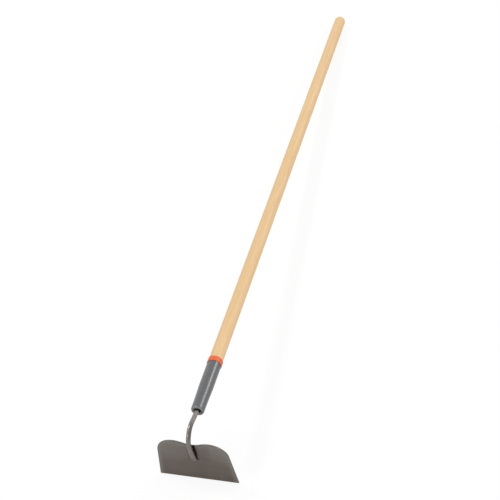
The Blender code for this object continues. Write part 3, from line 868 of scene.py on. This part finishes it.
def forgedSteel(name, darkHex, paleHex, heatHex):
    # Carbon steel, forged hot and clear-lacquered: thin scale gives it grey-brown patches, the
    # dents catch the light, and the weld's heat left it browner, with burnt black flanks; the same
    # near black paints shade on the flanks, on the bend's right side and inside the ferrule
    material, tree, shader = newMaterial(
        name, {"Metallic": 0.25, "Coat Weight": 0.6, "Coat Roughness": 0.09})
    place = ownPlace(tree)
    # patches of scale 5 mm across, with pits of 1 mm
    scale = addNode(tree, "TexNoise", {"Scale": 210.0, "Detail": 5.0, "Roughness": 0.62}, {"Vector": place})
    tone = addNode(tree, "ValToRGB", {}, {"Fac": scale}, stops=[(0.3, darkHex), (0.68, paleHex)])
    # near black where the mesh says: burnt steel and painted shade
    burnt = overlaid(tree, "scorch", overlaid(tree, "browned", tone, heatHex), scorchHex)
    gloss = addNode(tree, "MapRange", {"To Min": 0.3, "To Max": 0.5}, {"Value": scale})
    fine = addNode(tree, "TexNoise", {"Scale": 900.0, "Detail": 4.0, "Roughness": 0.6}, {"Vector": place})
    bump = addNode(tree, "Bump", {"Strength": 0.3, "Distance": 0.0003}, {"Height": fine})
    plug(tree, shader, {"Base Color": burnt, "Roughness": gloss, "Normal": bump})
    return material


def pressedBlade():
    # Carbon steel sheet, cold-rolled, pressed, tempered and clear-lacquered: brown-grey, darker
    # towards the edge, with fine rolling streaks across, cloudy tempering, a violet tint where the
    # weld heated it with painted shade beside the foot's left flank, a paler margin, a dark sheared
    # rim with painted edge shade, burnt scale and the leg's painted shadow round the weld, and
    # grinding lines square to the edge on a bevel painted dark as its shade
    material, tree, shader = newMaterial("tempered_blade_steel", {"Metallic": 0.3})
    place = ownPlace(tree)
    split = addNode(tree, "SeparateXYZ", {}, {0: place})
    height = addNode(tree, "MapRange", {"From Min": -edgeDrop, "From Max": -plate["axisAbove"]},
                     {"Value": split.outputs["Z"]})
    drawn = addNode(tree, "ValToRGB", {}, {"Fac": height}, stops=[
        (0.0, "736960"), (1.0, "8A827A"), (0.45, "716860")])
    # clouds of 4 cm
    cloud = addNode(tree, "TexNoise", {"Scale": 28.0, "Detail": 5.0, "Roughness": 0.55}, {"Vector": place})
    cloudTone = addNode(tree, "ValToRGB", {}, {"Fac": cloud}, stops=[(0.3, "E4E0DC"), (0.7, "FFFFFF")])
    tempered = addNode(tree, "Mix", {0: 0.8}, {6: drawn, 7: cloudTone}, data_type="RGBA",
                       blend_type="MULTIPLY")
    # rolling streaks: about 1 mm high and 5 cm long
    wide = addNode(tree, "Mapping", {"Scale": (22, 500, 700)}, {"Vector": place})
    rolled = addNode(tree, "TexNoise", {"Scale": 1.0, "Detail": 4.0, "Roughness": 0.6}, {"Vector": wide})
    rolledTone = addNode(tree, "ValToRGB", {}, {"Fac": rolled}, stops=[(0.3, "D8D8D8"), (0.65, "FFFFFF")])
    streaked = addNode(tree, "Mix", {0: 0.4}, {6: tempered.outputs[2], 7: rolledTone},
                       data_type="RGBA", blend_type="MULTIPLY")
    # violet heat tint, and painted shade left of the foot
    tinted = overlaid(tree, "tinted", streaked.outputs[2], "EAE2EB", blend_type="MULTIPLY")
    edged = overlaid(tree, "margin", tinted, "87827C")
    # the shears tear the edge in patches of 4 mm, and the dark rim also paints the edge's shade
    torn = addNode(tree, "TexNoise", {"Scale": 260.0, "Detail": 4.0, "Roughness": 0.65}, {"Vector": place})
    tornTone = addNode(tree, "ValToRGB", {}, {"Fac": torn}, stops=[(0.3, "5E5852"), (0.7, "78726C")])
    # near black where the mesh says: burnt scale and the leg's painted shadow beside the foot
    burnt = overlaid(tree, "scorch", overlaid(tree, "sheared", edged, tornTone), scorchHex)
    # a grinding wheel leaves lines 0.1 mm apart; these are 0.6 mm, so that some of them show, on a tone
    # painted dark as the downward bevel's shade
    upright = addNode(tree, "Mapping", {"Scale": (1600, 60, 60)}, {"Vector": place})
    wheel = addNode(tree, "TexNoise", {"Scale": 1.0, "Detail": 3.0, "Roughness": 0.6}, {"Vector": upright})
    wheelTone = addNode(tree, "ValToRGB", {}, {"Fac": wheel}, stops=[(0.3, "423D38"), (0.7, "5A554F")])
    finished = overlaid(tree, "ground", burnt, wheelTone)
    gloss = addNode(tree, "MapRange", {"To Min": 0.36, "To Max": 0.52}, {"Value": cloud})
    bump = addNode(tree, "Bump", {"Strength": 0.2, "Distance": 0.0002}, {"Height": rolled})
    plug(tree, shader, {"Base Color": finished, "Roughness": gloss, "Normal": bump})
    return material


def nailSteel():
    # Drawn wire nail, barrel-finished: plain grey steel with small knocks from the hammer, 1 to 2 mm
    material, tree, shader = newMaterial("wire_nail_steel", {"Metallic": 0.8, "Roughness": 0.38})
    place = ownPlace(tree)
    knocks = addNode(tree, "TexNoise", {"Scale": 700.0, "Detail": 4.0, "Roughness": 0.6}, {"Vector": place})
    tone = addNode(tree, "ValToRGB", {}, {"Fac": knocks}, stops=[(0.3, "6C6D6F"), (0.7, "838486")])
    bump = addNode(tree, "Bump", {"Strength": 0.3, "Distance": 0.0002}, {"Height": knocks})
    plug(tree, shader, {"Base Color": tone, "Normal": bump})
    return material


studio = {
    "cameraPlace": (0.7636, -2.13788, 2.29862),
    "cameraTarget": (-0.01892, -0.17179, 0.08063),
    "cameraRoll": math.radians(-10.928),
    "lens": 100.8,
    "ambient": 0.68,  # light that the surroundings give to matt surfaces
    # each lamp's name, power, apparent width in degrees and direction from the hoe
    "lamps": (
        ("key_softbox", 0.7, 6, (-0.59, 0.18, 0.79)),
        ("front_softbox", 0.4, 8, (-0.45, -0.62, 0.64)),
        ("side_softbox", 0.7, 60, (0.95, 0.1, 0.25)),
        ("strip_softbox", 0.5, 22, (0.581, 0.677, 0.452)),
    ),
    "lampDistance": 3,
    "floorHex": "D8D8D8",
    "floorHalf": 12.0,
    "floorLevel": -0.0002,
    "floorLift": 0.88,  # share of the floor's picture that is plain white
}


def seenBy(tree, *rays):
    # 1 for rays of the named kinds, 0 for other light
    path = addNode(tree, "LightPath")
    seen = path.outputs[rays[0]]
    for ray in rays[1:]:
        seen = addNode(tree, "Math", {}, {0: seen, 1: path.outputs[ray]}, operation="MAXIMUM")
    return seen


def whitePaper():
    # Matt white paper: its shade stays, lifted towards white where the lens sees it
    material, tree, shader = newMaterial("white_paper")
    tree.nodes.remove(shader)
    seen = seenBy(tree, "Is Camera Ray", "Is Transmission Ray")
    tone = addNode(tree, "Mix", {6: toLinear(studio["floorHex"]), 7: (1, 1, 1, 1)}, {0: seen},
                   data_type="RGBA")
    matt = addNode(tree, "BsdfDiffuse", {}, {"Color": tone.outputs[2]})
    white = addNode(tree, "Emission", {"Color": (1, 1, 1, 1), "Strength": 1.0})
    share = addNode(tree, "Math", {1: studio["floorLift"]}, {0: seen}, operation="MULTIPLY")
    both = addNode(tree, "MixShader", {}, {0: share, 1: matt, 2: white})
    plug(tree, tree.nodes["Material Output"], {"Surface": both})
    return material


def buildStudio():
    # White surroundings, a floor of white paper, four soft lamps and the camera
    world = bpy.data.worlds.new("white_studio")
    bpy.context.scene.world = world
    world.use_nodes = True
    tree = world.node_tree
    background = tree.nodes["Background"]
    background.inputs["Color"].default_value = (1, 1, 1, 1)
    strength = addNode(tree, "MapRange", {"To Min": studio["ambient"], "To Max": 1.0},
                       {"Value": seenBy(tree, "Is Camera Ray", "Is Glossy Ray", "Is Transmission Ray")})
    plug(tree, background, {"Strength": strength})

    mesh = bpy.data.meshes.new("studio_floor")
    half, level = studio["floorHalf"], studio["floorLevel"]
    corners = [(-half, -half, level), (half, -half, level), (half, half, level), (-half, half, level)]
    mesh.from_pydata(corners, [], [(0, 1, 2, 3)])
    mesh.materials.append(whitePaper())
    addObject("studio_floor", mesh)

    for name, power, width, where in studio["lamps"]:
        lamp = bpy.data.lights.new(name, "SUN")
        lamp.energy = power
        lamp.angle = math.radians(width)
        light = addObject(name, lamp)
        light.rotation_euler = Vector(where).to_track_quat("Z", "Y").to_euler()
        light.location = Vector(where) * studio["lampDistance"]

    lens = bpy.data.cameras.new("studio_camera")
    lens.lens = studio["lens"]
    lens.sensor_width = 36
    lens.clip_start, lens.clip_end = 0.05, 60
    camera = addObject("studio_camera", lens)
    place = Vector(studio["cameraPlace"])
    look = (Vector(studio["cameraTarget"]) - place).to_track_quat("-Z", "Y").to_matrix()
    roll = Matrix.Rotation(studio["cameraRoll"], 3, "Z")
    camera.matrix_world = Matrix.Translation(place) @ (look @ roll).to_4x4()
    bpy.context.scene.camera = camera
    bpy.context.scene.view_settings.view_transform = "Standard"
    print("hoe: studio set up")


buildStudio()
finishPiece(buildStick(), lacqueredAsh(), "handle")
finishPiece(buildTube(), coatedFerrule(), "ferrule")
finishPiece(buildCollar(), mouldedCollar(), "collar")
finishPiece(buildNail(), nailSteel(), "ferrule_nail")
neckSteel = forgedSteel("forged_neck_steel", "6C6760", "88837B", "73655C")
finishPiece(buildNeck(), neckSteel, "neck")
finishPiece(buildBlade(), pressedBlade(), "blade")
# the weld metal is dark: burnt metal, and painted shade in the corner beside the foot
weldMetal = forgedSteel("weld_metal", "3A322C", "51473F", "3A322C")
finishPiece(buildWeld("weld_bead_left", -1), weldMetal, "weld_left")
finishPiece(buildWeld("weld_bead_right", 1), weldMetal, "weld_right")
